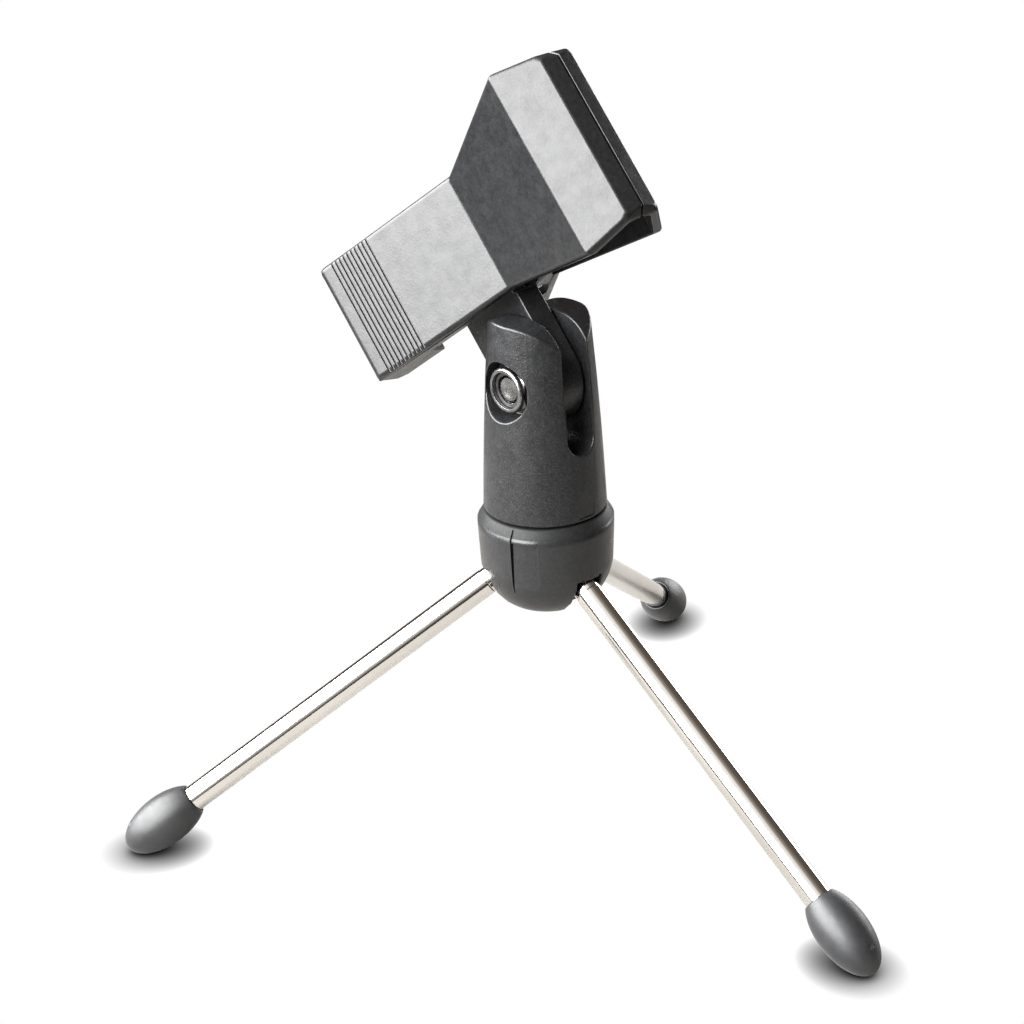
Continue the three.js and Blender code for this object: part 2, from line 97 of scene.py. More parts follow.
LEGS = (1, 2, 3)
LEG_PIVOT = (9.0, JOINTS["leg_1_fold"]["pos_m"][2] / MM)  # from the hub's axis, and height
TUBE_R = 3.0
TUBE_WALL = 0.7
TUBE_START = 5.5
FOOT_MOUTH = 88.0
FOOT_CENTRE = FOOT_MOUTH + 8.25
FOOT_LONG = 10.3
FOOT_R = 5.4
FOOT_INSIDE = 9.0
PIN_R = 1.5
RUNNING_GAP = 0.09  # between a pin and its hole
FIT_GAP = 0.15  # between parts that are screwed or pressed together
EYE_R = 2.9
SLOT_HALF = 3.4

HUB_R = 14.95
HUB_RIM = (13.5, 2.4)  # radius at the top, and how far the chamfer falls
HUB_FLAT_R = 6.8
WALL_FOOT = (14.6, 62.5)  # radius and height where the bowl meets the wall
BOWL_SWEEP = math.radians(72)
BOWL_FULLNESS = 1.15
PANEL = {"half_angle": math.radians(11.5), "depth": 0.3, "low": 57.5, "below_rim": 0.6}
SPLIT = {"width": 0.38, "low": 57.25, "above_rim": 0.75}
STUD_R = 4.7
STUD_TOP = 86.0
FLANGE = (6.6, 3.8)
FLANGE_FLOOR = HUB_TOP - FLANGE[1]
SCREW_R = 2.4
SCREW_HEAD = (4.2, 2.6)
HEAD_FLOOR = HUB_BOTTOM + 3.85
WASHER_TOP = HEAD_FLOOR - FIT_GAP
WASHER_THICK = 0.8

POST_R = 13.5
BORE = (8.0, 87.4)
EAR_CORNER_R = 9.0
POST_SLOT = (3.7, 89.6)
COUNTERBORE = (6.5, 6.5)
PIVOT_R = 3.0
NUT = {"flats": 10.0, "from": 6.6, "to": 10.5}
CAP = {"r": 5.0, "from": 6.6, "to": 11.0}

TONGUE = {"half": 10.2, "thick": 6.0, "end": 25.8}
CENTRE_Z = 30.3
JAW_WALL = 2.2
JAW_RIM_R = 1.1
JAW_END_R = 1.5
GROOVES = {"first": 3.95, "pitch": 1.11, "count": 10, "width": 0.58, "depth": 0.5}
HANDLE_HALF = 13.8
MOUTH_HALF = 21.0
LIP_HALF = 19.0
LIP_GAP = 0.2
REAR = (-20.0, 24.0)
WAIST = (14.0, 7.5)
CHEEK = (43.8, 10.7)
NOSE = (52.7, 4.2)
LIP = (53.6, LIP_GAP)
HINGE_X = 12.0
HINGE_PIN = (17.5, 43.9)
SPRING_Z = {"right": 32, "left": 36.7}
KNUCKLE_R = 4.2
KNUCKLES = {"left": ((26.1, 28.5), (40.1, 42.5)), "right": ((28.8, 31.2), (37.4, 39.8))}

# ---------------------------------------------------------------- outlines


def arc(cx, cy, r, start, end, steps=12):
    """Points on a circle, from one angle to another."""
    angles = [start + (end - start) * i / steps for i in range(steps + 1)]
    return [(cx + r * math.cos(a), cy + r * math.sin(a)) for a in angles]


def offset_line(points, distance):
    """Moves an open line sideways, and meets its sides again at the corners."""
    sides = []
    for (x0, y0), (x1, y1) in zip(points, points[1:]):
        along = Vector((x1 - x0, y1 - y0)).normalized()
        inward = Vector((along.y, -along.x)) * distance
        sides.append((Vector((x0, y0)) + inward, along))
    result = [tuple(sides[0][0])]
    for (p, d), (q, e) in zip(sides, sides[1:]):
        cross = d.x * e.y - d.y * e.x
        t = ((q.x - p.x) * e.y - (q.y - p.y) * e.x) / cross
        result.append(tuple(p + d * t))
    last = Vector(points[-1]) + Vector((sides[-1][1].y, -sides[-1][1].x)) * distance
    result.append(tuple(last))
    return result


# ---------------------------------------------------------------- solids


def make_object(verts, faces):
    mesh = bpy.data.meshes.new("shape")
    mesh.from_pydata([tuple(v) for v in verts], [], faces)
    made = bmesh.new()
    made.from_mesh(mesh)
    bmesh.ops.recalc_face_normals(made, faces=made.faces)
    made.to_mesh(mesh)
    made.free()
    obj = bpy.data.objects.new("shape", mesh)
    bpy.context.scene.collection.objects.link(obj)
    return obj


def turned(profile, facets=ROUND, start=0.0):
    """A turned solid about +Z; its profile ends on the axis, or on its own first point."""
    verts = []
    rings = []
    for r, z in profile:
        first = len(verts)
        if r < 1e-6:
            verts.append((0, 0, z))
            rings.append([first] * facets)
            continue
        for i in range(facets):
            angle = start + 2 * math.pi * i / facets
            verts.append((r * math.cos(angle), r * math.sin(angle), z))
        rings.append(list(range(first, first + facets)))
    if profile[0] == profile[-1] and profile[0][0] > 1e-6:
        del verts[-facets:]
        rings[-1] = rings[0]
    faces = []
    for low, high in zip(rings, rings[1:]):
        for i in range(facets):
            j = (i + 1) % facets
            corners = list(dict.fromkeys((low[i], low[j], high[j], high[i])))
            if len(corners) > 2:
                faces.append(corners)
    return make_object(verts, faces)


def rod(r, low, high, facets=SMALL_ROUND):
    return turned([(0, low), (r, low), (r, high), (0, high)], facets)


def ring(outer, inner, low, high, facets=ROUND):
    return turned([(inner, low), (outer, low), (outer, high), (inner, high), (inner, low)], facets)


def plate(outline, low, high):
    """A flat outline in XY pushed from z = low to z = high."""
    count = len(outline)
    verts = [(x, y, low) for x, y in outline] + [(x, y, high) for x, y in outline]
    sides = [(i, (i + 1) % count, (i + 1) % count + count, i + count) for i in range(count)]
    return make_object(verts, [tuple(range(count))[::-1], tuple(range(count, 2 * count)), *sides])


def block(size, centre):
    x, y, z = (s / 2 for s in size)
    shape = plate([(-x, -y), (x, -y), (x, y), (-x, y)], -z, z)
    return moved(shape, Matrix.Translation(centre))


def moved(obj, *matrices):
    for matrix in matrices:
        obj.data.transform(matrix)
    return obj


def mirrored(obj, axis):
    scale = Matrix.Identity(4)
    scale[axis][axis] = -1
    obj.data.transform(scale)
    obj.data.flip_normals()
    return obj


def apply_modifiers(obj):
    bpy.context.view_layer.update()
    graph = bpy.context.evaluated_depsgraph_get()
    mesh = bpy.data.meshes.new_from_object(obj.evaluated_get(graph))
    obj.modifiers.clear()
    obj.data = mesh


def boolean(body, others, operation):
    for other in others:
        modifier = body.modifiers.new("join", "BOOLEAN")
        modifier.operation = operation
        modifier.solver = "EXACT"
        modifier.object = other
        apply_modifiers(body)
        bpy.data.objects.remove(other)
    return body


def joined(body, *others):
    return boolean(body, others, "UNION")


def common(body, *others):
    return boolean(body, others, "INTERSECT")


def cut(body, *others):
    return boolean(body, others, "DIFFERENCE")


def tidied(obj, flat=0.6, merge=0.004):
    """Merges the coplanar faces and doubled points that a join leaves."""
    work = bmesh.new()
    work.from_mesh(obj.data)
    bmesh.ops.remove_doubles(work, verts=work.verts, dist=merge)
    bmesh.ops.dissolve_limit(
        work, angle_limit=math.radians(flat), verts=work.verts, edges=work.edges
    )
    work.to_mesh(obj.data)
    work.free()
    return obj


def softened(obj, width, sharp=32, segments=3):
    """Rounds every edge sharper than an angle, and keeps the new points near the old surface."""
    tidied(obj)
    sharp_shape = BVHTree.FromPolygons(
        [vertex.co.copy() for vertex in obj.data.vertices],
        [tuple(face.vertices) for face in obj.data.polygons],
    )
    bevel = obj.modifiers.new("edges", "BEVEL")
    bevel.width = width
    bevel.segments = segments
    bevel.limit_method = "ANGLE"
    bevel.angle_limit = math.radians(sharp)
    bevel.use_clamp_overlap = False
    bevel.miter_outer = "MITER_ARC"
    apply_modifiers(obj)
    for vertex in obj.data.vertices:
        nearest, _, _, distance = sharp_shape.find_nearest(vertex.co)
        if distance > width * 0.6:
            vertex.co = nearest
    return obj


def tube_along(points, radius, sides=12):
    """A round wire through a list of points, closed at both ends."""
    verts = []
    faces = []
    normal = None
    for i, point in enumerate(points):
        ahead = points[min(i + 1, len(points) - 1)] - points[max(i - 1, 0)]
        ahead.normalize()
        if normal is None:
            normal = ahead.orthogonal().normalized()
        normal = (normal - ahead * normal.dot(ahead)).normalized()
        side = ahead.cross(normal)
        for k in range(sides):
            angle = 2 * math.pi * k / sides
            verts.append(point + (normal * math.cos(angle) + side * math.sin(angle)) * radius)
    for i in range(len(points) - 1):
        for k in range(sides):
            a, b = i * sides + k, i * sides + (k + 1) % sides
            faces.append((a, b, b + sides, a + sides))
    last = (len(points) - 1) * sides
    faces.append(tuple(range(sides))[::-1])
    faces.append(tuple(range(last, last + sides)))
    return make_object(verts, faces)


def thread(r, low, high, pitch, depth):
    """A turned profile with one ridge each pitch, going up."""
    points = [(r, low)]
    count = int((high - low) / pitch)
    for i in range(count):
        z = low + i * pitch
        points += [(r - depth, z + pitch * 0.5), (r, z + pitch)]
    return points


# ---------------------------------------------------------------- node helpers


class Look:
    """A material under construction: short calls that add nodes and link them."""

    def __init__(self, name):
        self.material = bpy.data.materials.new(name)
        self.material.use_nodes = True
        self.tree = self.material.node_tree
        self.shader = self.tree.nodes["Principled BSDF"]
        self.place = self.add("ShaderNodeAttribute")
        self.place.attribute_name = "local"

    def add(self, kind, **settings):
        node = self.tree.nodes.new(kind)
        for key, value in settings.items():
            setattr(node, key, value)
        return node

    def link(self, output, target):
        self.tree.links.new(output, target)

    def coordinates(self, stretch=(1, 1, 1)):
        node = self.add("ShaderNodeMapping")
        node.inputs["Scale"].default_value = stretch
        self.link(self.place.outputs["Vector"], node.inputs["Vector"])
        return node.outputs["Vector"]

    def noise(self, scale, detail=3, roughness=0.55, stretch=(1, 1, 1)):
        node = self.add("ShaderNodeTexNoise")
        node.inputs["Scale"].default_value = scale
        node.inputs["Detail"].default_value = detail
        node.inputs["Roughness"].default_value = roughness
        self.link(self.coordinates(stretch), node.inputs["Vector"])
        return node.outputs["Fac"]

    def height(self):
        split = self.add("ShaderNodeSeparateXYZ")
        self.link(self.place.outputs["Vector"], split.inputs["Vector"])
        return split.outputs["Z"]

    def cells(self, scale):
        node = self.add("ShaderNodeTexVoronoi")
        node.inputs["Scale"].default_value = scale
        self.link(self.coordinates(), node.inputs["Vector"])
        return node.outputs["Distance"]

    def ramp(self, value, *stops):
        """stops are (position, grey) or (position, (r, g, b))."""
        node = self.add("ShaderNodeValToRGB")
        elements = node.color_ramp.elements
        while len(elements) < len(stops):
            elements.new(0.5)
        for element, (position, colour) in zip(elements, stops):
            element.position = position
            rgb = colour if isinstance(colour, tuple) else (colour,) * 3
            element.color = (*rgb, 1)
        self.link(value, node.inputs["Fac"])
        return node.outputs["Color"]

    def maths(self, operation, a, b):
        node = self.add("ShaderNodeMath", operation=operation)
        for socket, value in zip(node.inputs, (a, b)):
            if isinstance(value, (int, float)):
                socket.default_value = value
            else:
                self.link(value, socket)
        return node.outputs["Value"]

    def blend(self, factor, a, b):
        """a where the factor is 0, and b where it is 1."""
        node = self.add("ShaderNodeMix", data_type="RGBA")
        for name, value in (("Factor_Float", factor), ("A_Color", a), ("B_Color", b)):
            socket = next(s for s in node.inputs if s.identifier == name)
            if isinstance(value, (int, float)):
                socket.default_value = value
            elif isinstance(value, tuple):
                socket.default_value = (*value, 1)
            else:
                self.link(value, socket)
        return next(s for s in node.outputs if s.identifier == "Result_Color")

    def bump(self, height, strength, distance, before=None):
        node = self.add("ShaderNodeBump")
        node.inputs["Strength"].default_value = strength
        node.inputs["Distance"].default_value = distance * MM
        self.link(height, node.inputs["Height"])
        if before is not None:
            self.link(before, node.inputs["Normal"])
        return node.outputs["Normal"]

    def edges(self, radius):
        """1 on worn outside edges, 0 on open faces."""
        bevel = self.add("ShaderNodeBevel", samples=6)
        bevel.inputs["Radius"].default_value = radius * MM
        plain = self.add("ShaderNodeNewGeometry")
        dot = self.add("ShaderNodeVectorMath", operation="DOT_PRODUCT")
        self.link(bevel.outputs["Normal"], dot.inputs[0])
        self.link(plain.outputs["Normal"], dot.inputs[1])
        return self.ramp(dot.outputs["Value"], (0.9, 1.0), (0.995, 0.0))

    def set(self, **values):
        for name, value in values.items():
            socket = self.shader.inputs[name.replace("_", " ")]
            if isinstance(value, (int, float)):
                socket.default_value = value
            elif isinstance(value, tuple):
                socket.default_value = (*value, 1)
            else:
                self.link(value, socket)


# ---------------------------------------------------------------- materials


def moulded_plastic(name, dark, light, rough, grain, depth, speckle, dull_above=None):
    """Black moulded plastic with a spark-eroded skin, mottling, scuffs and rubbed edges."""
    look = Look(name)
    mottle = look.noise(0.9, 5, 0.62)
    tone = look.ramp(mottle, (0.32, dark), (0.68, light))
    specks = look.ramp(look.noise(grain * 1.1, 2, 0.5), (0.52, 0.0), (0.7, 1.0))
    tone = look.blend(look.maths("MULTIPLY", specks, speckle), tone, tuple(c * 2.6 for c in light))
    rub = look.maths("MULTIPLY", look.edges(0.45), look.noise(1.3, 4))
    tone = look.blend(look.maths("MULTIPLY", rub, 0.5), tone, tuple(c * 3 for c in light))
    gloss = look.ramp(look.noise(0.35, 4), (0.3, rough - 0.05), (0.7, rough + 0.06))
    gloss = look.blend(look.maths("MULTIPLY", rub, 0.6), gloss, (rough * 0.6,) * 3)
    scuffs = look.ramp(look.noise(0.5, 3, 0.6, (1, 9, 2.5)), (0.62, 0.0), (0.7, 1.0))
    gloss = look.blend(look.maths("MULTIPLY", scuffs, 0.3), gloss, (rough + 0.15,) * 3)
    if dull_above is not None:
        dull = look.maths("GREATER_THAN", look.height(), dull_above)
        gloss = look.blend(dull, gloss, (0.5,) * 3)
        less = look.maths("MULTIPLY", dull, 0.3)
        look.set(Specular_IOR_Level=look.maths("SUBTRACT", 0.5, less))
    skin = look.bump(look.noise(grain, 3, 0.6), 0.5, depth)
    skin = look.bump(look.cells(grain * 0.6), 0.3, depth, skin)
    skin = look.bump(look.noise(0.12, 2), 0.25, 0.06, skin)
    look.set(Base_Color=tone, Roughness=gloss, Normal=skin)
    return look.material


def nickel():
    """Bright nickel on drawn tube: slightly warm, with fine lines along it and a few pits."""
    look = Look("nickel_tube_look")
    along = look.noise(2.2, 4, 0.6, (0.03, 2.2, 2.2))
    haze = look.noise(0.08, 3, 0.5, (0.4, 1, 1))
    tone = look.ramp(haze, (0.3, (0.78, 0.75, 0.71)), (0.7, (0.86, 0.84, 0.81)))
    pits = look.ramp(look.noise(3.0, 2, 0.5), (0.72, 0.0), (0.78, 1.0))
    tone = look.blend(look.maths("MULTIPLY", pits, 0.4), tone, (0.5, 0.46, 0.41))
    gloss = look.ramp(along, (0.3, 0.05), (0.75, 0.12))
    skin = look.bump(along, 0.25, 0.004)
    skin = look.bump(look.noise(0.05, 2, 0.5, (1, 2, 2)), 0.3, 0.03, skin)
    look.set(Base_Color=tone, Metallic=1.0, Roughness=gloss, Normal=skin)
    return look.material


def plain_metal(name, dark, light, rough, stretch=(1, 1, 1)):
    """Plated or turned metal: tool lines, stains and brighter edges."""
    look = Look(name)
    lines = look.noise(3.0, 4, 0.6, stretch)
    tone = look.ramp(look.noise(0.6, 4), (0.3, dark), (0.7, light))
    tone = look.blend(look.edges(0.25), tone, tuple(min(1, c * 1.2) for c in light))
    gloss = look.ramp(lines, (0.3, rough - 0.07), (0.7, rough + 0.1))
    skin = look.bump(lines, 0.35, 0.01)
    look.set(Base_Color=tone, Metallic=1.0, Roughness=gloss, Normal=skin)
    return look.material


def rubber():
    """Dark grey moulded rubber with a dry bloom and fine pores."""
    look = Look("rubber_look")
    dark, light = (0.011, 0.0116, 0.0128), (0.019, 0.0198, 0.0215)
    bloom = look.ramp(look.noise(0.25, 4), (0.3, dark), (0.72, light))
    dust = look.ramp(look.noise(2.6, 3), (0.62, 0.0), (0.8, 1.0))
    tone = look.blend(look.maths("MULTIPLY", dust, 0.25), bloom, (0.06, 0.06, 0.063))
    gloss = look.ramp(look.noise(0.6, 3), (0.3, 0.4), (0.7, 0.5))
    skin = look.bump(look.noise(4.0, 3, 0.6), 0.4, 0.05)
    look.set(Base_Color=tone, Roughness=gloss, Normal=skin, Specular_IOR_Level=0.58)
    look.set(Sheen_Weight=0.06, Sheen_Roughness=0.4)
    return look.material


def nylon():
    look = Look("nylon_look")
    tone = look.ramp(look.noise(0.8, 3), (0.3, (0.012, 0.012, 0.013)), (0.7, (0.028, 0.028, 0.03)))
    gloss = look.ramp(look.noise(1.5, 3), (0.3, 0.35), (0.7, 0.5))
    look.set(Base_Color=tone, Roughness=gloss, Normal=look.bump(look.noise(5, 2), 0.25, 0.02))
    return look.material


CLIP_BLACK = ((0.006, 0.0063, 0.0068), (0.0124, 0.0128, 0.0136))
HUB_BLACK = ((0.0105, 0.0108, 0.0113), (0.0158, 0.0162, 0.0169))
LOOKS = {
    "clip_plastic": moulded_plastic("clip_plastic_look", *CLIP_BLACK, 0.33, 2.4, 0.035, 0.2),
    "post_plastic": moulded_plastic("post_plastic_look", *CLIP_BLACK, 0.35, 2.6, 0.08, 0.6),
    "hub_plastic": moulded_plastic(
        "hub_plastic_look", *HUB_BLACK, 0.32, 2.4, 0.04, 0.3, HUB_TOP - HUB_RIM[1] + 0.35
    ),
    "nickel_tube": nickel(),
    "plain_steel": plain_metal("plain_steel_look", (0.2, 0.2, 0.2), (0.33, 0.33, 0.325), 0.28),
    "spring_steel": plain_metal("spring_steel_look", (0.28, 0.28, 0.29), (0.45, 0.45, 0.46), 0.3),
    "brass": plain_metal("brass_look", (0.55, 0.4, 0.17), (0.75, 0.58, 0.3), 0.3, (1, 1, 6)),
    "nylon": nylon(),
    "rubber": rubber(),
}


def piece(obj, node, body, slot, place, smooth=38, look=None):
    """Names a shape, remembers its own millimetres for the textures, and puts it in its place."""
    obj.name = f"{node}_skin"
    mesh = obj.data
    mesh.name = obj.name
    local = mesh.attributes.new("local", "FLOAT_VECTOR", "POINT")
    for point, vertex in zip(local.data, mesh.vertices):
        point.vector = vertex.co
    mesh.transform(place @ Matrix.Scale(MM, 4))
    for face in mesh.polygons:
        face.use_smooth = True
    mesh.set_sharp_from_angle(angle=math.radians(smooth))
    weighted = obj.modifiers.new("shading", "WEIGHTED_NORMAL")
    weighted.keep_sharp = True
    mesh.materials.clear()
    mesh.materials.append(LOOKS[look or slot])
    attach(obj, body)
    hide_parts(node)


# ---------------------------------------------------------------- hub


def leg_slot(heading):
    """Swept room for one leg, from spread to folded straight down."""
    reach = 40
    r, z = LEG_PIVOT
    above = arc(r, z, SLOT_HALF, math.pi, math.pi / 2 - LEG_SLOPE)
    tip = above[-1]
    end = (tip[0] + math.cos(LEG_SLOPE) * reach, tip[1] - math.sin(LEG_SLOPE) * reach)
    outline = [(r - SLOT_HALF, 0), *above, end, (end[0], 0)]
    return moved(
        plate(outline, -SLOT_HALF, SLOT_HALF), STAND_UP, Matrix.Rotation(heading, 4, "Z")
    )


def leg_pin(heading, r, length):
    shape = rod(r, -length / 2, length / 2)
    return moved(
        shape,
        STAND_UP,
        Matrix.Translation((LEG_PIVOT[0], 0, LEG_PIVOT[1])),
        Matrix.Rotation(heading, 4, "Z"),
    )


def hub_profile():
    """A small flat underneath, a full bowl, a straight wall, and a chamfer up to the rim."""
    rim_r, rim_drop = HUB_RIM
    bowl_r, bowl_z = WALL_FOOT
    shoulder = HUB_TOP - rim_drop
    steps = 28
    bowl = []
    for i in range(steps + 1):
        angle = BOWL_SWEEP * i / steps
        r = HUB_FLAT_R + (bowl_r - HUB_FLAT_R) * math.cos(angle) ** BOWL_FULLNESS
        z = bowl_z - (bowl_z - HUB_BOTTOM) * math.sin(angle) ** BOWL_FULLNESS
        bowl.append((r, z))
    wall = [(HUB_R, shoulder - 1.4), (HUB_R, shoulder)]
    flat = [(0, HUB_BOTTOM), (HUB_FLAT_R, HUB_BOTTOM)]
    return [*flat, *bowl[::-1], *wall, (rim_r, HUB_TOP), (0, HUB_TOP)]


def hub_panel(heading):
    """A shallow recess midway between two legs, and the mould's split line beside it."""
    half = PANEL["half_angle"]
    inner = arc(0, 0, WALL_FOOT[0] - PANEL["depth"], -half, half, 10)
    outer = arc(0, 0, HUB_R + 1, half, -half, 10)
    recess = plate([*inner, *outer], PANEL["low"], HUB_TOP - HUB_RIM[1] - PANEL["below_rim"])
    low, high = SPLIT["low"], HUB_TOP + SPLIT["above_rim"]
    split = block((3, SPLIT["width"], high - low), (0, 0, (high + low) / 2))
    out = Matrix.Translation((WALL_FOOT[0] + 0.6, 0, 0))
    moved(split, out, Matrix.Rotation(-half, 4, "Z"))
    turn = Matrix.Rotation(heading, 4, "Z")
    return [moved(recess, turn), moved(split, turn)]


def make_hub_body(headings):
    body = turned(hub_profile())
    cut(
        body,
        rod(FLANGE[0] + FIT_GAP, FLANGE_FLOOR, HUB_TOP + 1),
        rod(SCREW_R + 0.3, 0, HUB_TOP),
        rod(SCREW_HEAD[0] + 0.45, 0, HEAD_FLOOR),
    )
    for heading in headings:
        cut(body, leg_slot(heading))
    softened(body, 0.4)
    for heading in headings:
        cut(body, *hub_panel(heading + math.pi / len(LEGS)))
        cut(body, leg_pin(heading, PIN_R + 0.12, 15.6))
    piece(body, "hub_body", "base", "hub_plastic", STAND)


def make_stud():
    """The flanged stud that the post turns on, with the hub's screw in its foot."""
    floor = FLANGE_FLOOR + FIT_GAP
    stud = turned([
        (SCREW_R + FIT_GAP, floor),
        (FLANGE[0], floor),
        (FLANGE[0], HUB_TOP),
        (STUD_R, HUB_TOP),
        *thread(STUD_R, HUB_TOP + 0.6, STUD_TOP - 0.8, 0.94, 0.35),
        (STUD_R - 0.6, STUD_TOP),
        (0, STUD_TOP),
        (0, STUD_TOP - 2.5),
        (SCREW_R + FIT_GAP, STUD_TOP - 2.5),
        (SCREW_R + FIT_GAP, floor),
    ])
    piece(stud, "hub_stud", "base", "plain_steel", STAND)


def make_hub_screw():
    """The cross-head screw under the hub, and its washer."""
    washer = ring(SCREW_HEAD[0], SCREW_R + 0.2, WASHER_TOP - WASHER_THICK, WASHER_TOP)
    piece(softened(washer, 0.12), "hub_washer", "base", "plain_steel", STAND)

    head_top = WASHER_TOP - WASHER_THICK - FIT_GAP
    head_bottom = head_top - SCREW_HEAD[1]
    corner = 1.3
    screw = turned([
        (0, head_bottom),
        (SCREW_HEAD[0] - corner, head_bottom),
        *arc(SCREW_HEAD[0] - corner, head_bottom + corner, corner, -math.pi / 2, 0, 8)[1:],
        (SCREW_HEAD[0], head_top),
        (SCREW_R, head_top),
        (SCREW_R, STUD_TOP - 4),
        (0, STUD_TOP - 4),
    ])
    cut(
        screw,
        block((4.6, 1, 2.4), (0, 0, head_bottom)),
        block((1, 4.6, 2.4), (0, 0, head_bottom)),
    )
    piece(softened(screw, 0.12, 40, 2), "hub_screw", "base", "plain_steel", STAND)


def make_hub():
    headings = [leg_heading(number) for number in LEGS]
    make_hub_body(headings)
    make_stud()
    make_hub_screw()
    for number, heading in zip(LEGS, headings):
        pin = softened(leg_pin(heading, PIN_R, 15), 0.25)
        piece(pin, f"leg_pin_{number}", "base", "plain_steel", STAND)


# ---------------------------------------------------------------- legs


def foot_profile():
    mouth = math.acos((FOOT_MOUTH - FOOT_CENTRE) / FOOT_LONG)
    steps = 40
    points = []
    for i in range(steps + 1):
        share = i / steps
        angle = mouth * share
        r = FOOT_R * math.sin(angle) + 0.35 * share
        points.append((r, FOOT_CENTRE + FOOT_LONG * math.cos(angle)))
    return [
        (0, FOOT_MOUTH + FOOT_INSIDE),
        (TUBE_R + 0.1, FOOT_MOUTH + FOOT_INSIDE),
        (TUBE_R + 0.1, FOOT_MOUTH + 0.3),
        (TUBE_R + 0.35, FOOT_MOUTH),
        *points[::-1],
    ]


def make_foot():
    """An egg-shaped tip, flat where it stands, with the mould gate's small nub."""
    foot = moved(turned(foot_profile()), ALONG_X)
    depth = 40
    ground = block((400, depth, depth), (0, 0, -depth / 2 - LEG_PIVOT[1]))
    cut(foot, moved(ground, Matrix.Rotation(-LEG_SLOPE, 4, "Y")))
    nub_at = FOOT_CENTRE + FOOT_LONG - 4.2
    nub = turned([(0, 0), (0.75, 0), (0.75, 0.55), (0.5, 0.85), (0, 0.95)], 24)
    moved(nub, Matrix.Rotation(math.radians(52), 4, "Y"), Matrix.Translation((nub_at, 0, 3.6)))
    joined(foot, nub)
    return softened(foot, 0.22, 40)


def make_leg(number):
    place = leg_frame(number)
    body = f"leg_{number}"
    inner = TUBE_R - TUBE_WALL
    end = FOOT_MOUTH + FOOT_INSIDE - 0.4
    lip = 0.1
    start, bands = TUBE_START + lip, 12
    straight = end - TUBE_START - 2 * lip
    tube = turned([
        (inner, TUBE_START),
        (TUBE_R - lip, TUBE_START),
        (TUBE_R, start),
        *[(TUBE_R, start + straight * i / bands) for i in range(1, bands)],
        (TUBE_R, end - lip),
        (TUBE_R - lip, end),
        (inner, end),
        (inner, TUBE_START),
    ])
    piece(moved(tube, ALONG_X), f"leg_tube_{number}", body, "nickel_tube", place)

    eye = moved(rod(EYE_R, -EYE_R, EYE_R), STAND_UP)
    joined(
        eye,
        moved(rod(inner - FIT_GAP, 0, TUBE_START + 9), ALONG_X),
        moved(rod(EYE_R, 0, TUBE_START - 0.03), ALONG_X),
    )
    cut(eye, moved(rod(PIN_R + RUNNING_GAP, -5, 5), STAND_UP))
    piece(softened(eye, 0.2), f"leg_eye_{number}", body, "plain_steel", place, look="nickel_tube")
    piece(make_foot(), f"foot_{number}", body, "rubber", place)


# ---------------------------------------------------------------- post


def post_radius(z):
    t = (z - POST_BOTTOM) / (POST_TOP - POST_BOTTOM)
    return POST_R - 1.6 * t - 1.1 * t * t


def ear_outline():
    half = 14
    corner_z = POST_TOP - EAR_CORNER_R
    corner_x = post_radius(corner_z) - EAR_CORNER_R
    outline = [
        (-half, POST_BOTTOM - 1),
        (half, POST_BOTTOM - 1),
        (half, corner_z),
        *arc(corner_x, corner_z, EAR_CORNER_R, 0, math.pi / 2, 16),
        *arc(-corner_x, corner_z, EAR_CORNER_R, math.pi / 2, math.pi, 16),
        (-half, corner_z),
    ]
    return moved(plate(outline, -20, 20), STAND_UP)


def across_post(obj):
    return moved(obj, STAND_UP)


def make_post_body():
    steps = 14
    levels = [POST_BOTTOM + (POST_TOP - POST_BOTTOM) * i / steps for i in range(steps + 1)]
    wall = [(post_radius(z), z) for z in levels]
    body = turned([(0, POST_BOTTOM), *wall, (0, POST_TOP)], 60, math.radians(3))
    common(body, ear_outline())
    half, bottom = POST_SLOT
    slot_top = POST_TOP + 5
    slot = arc(0, bottom + half, half, math.pi, 2 * math.pi, 16)
    slot += [(half, slot_top), (-half, slot_top)]
    cut(body, moved(plate(slot, -20, 20), STAND_UP, Matrix.Rotation(math.pi / 2, 4, "Z")))
    cut(body, rod(BORE[0], POST_BOTTOM - 1, BORE[1], ROUND))
    moved(body, Matrix.Translation((0, 0, -TILT_POINT.z / MM)))
    r, floor = COUNTERBORE
    cut(
        body,
        across_post(rod(PIVOT_R + FIT_GAP, -20, 20)),
        across_post(rod(r, floor, 20, 72)),
        across_post(rod(r, -20, -floor, 72)),
    )
    softened(body, 0.42, 30)
    cut(body, *post_marks())
    piece(body, "post", "post", "clip_plastic", TILT, look="post_plastic")


def post_marks():
    """The moulded rectangles at the foot of the post, one on each side of the slot."""
    depth, size = 0.3, (2, 4.6, 6)
    x = POST_R - 0.1 - depth + size[0] / 2
    z = POST_BOTTOM + 3.6 - TILT_POINT.z / MM
    return [block(size, (side * x, 0, z)) for side in (-1, 1)]


def make_post():
    make_post_body()
    adaptor = ring(7.8, STUD_R + RUNNING_GAP, POST_BOTTOM + 0.2, BORE[1] - 0.6)
    piece(softened(adaptor, 0.25), "thread_adaptor", "post", "brass", STAND)
    for side, name in ((1, "right"), (-1, "left")):
        low, high = sorted((side * 3.1, side * 3.6))
        washer = across_post(softened(ring(7.5, PIVOT_R + 0.2, low, high), 0.1))
        piece(washer, f"friction_washer_{name}", "post", "nylon", TILT)
    make_tilt_screw()
    make_nut()


def hexagon(flats, turn=0.0):
    corner = flats / 2 / math.cos(math.pi / 6)
    return arc(0, 0, corner, turn, turn + 2 * math.pi, 6)[:6]


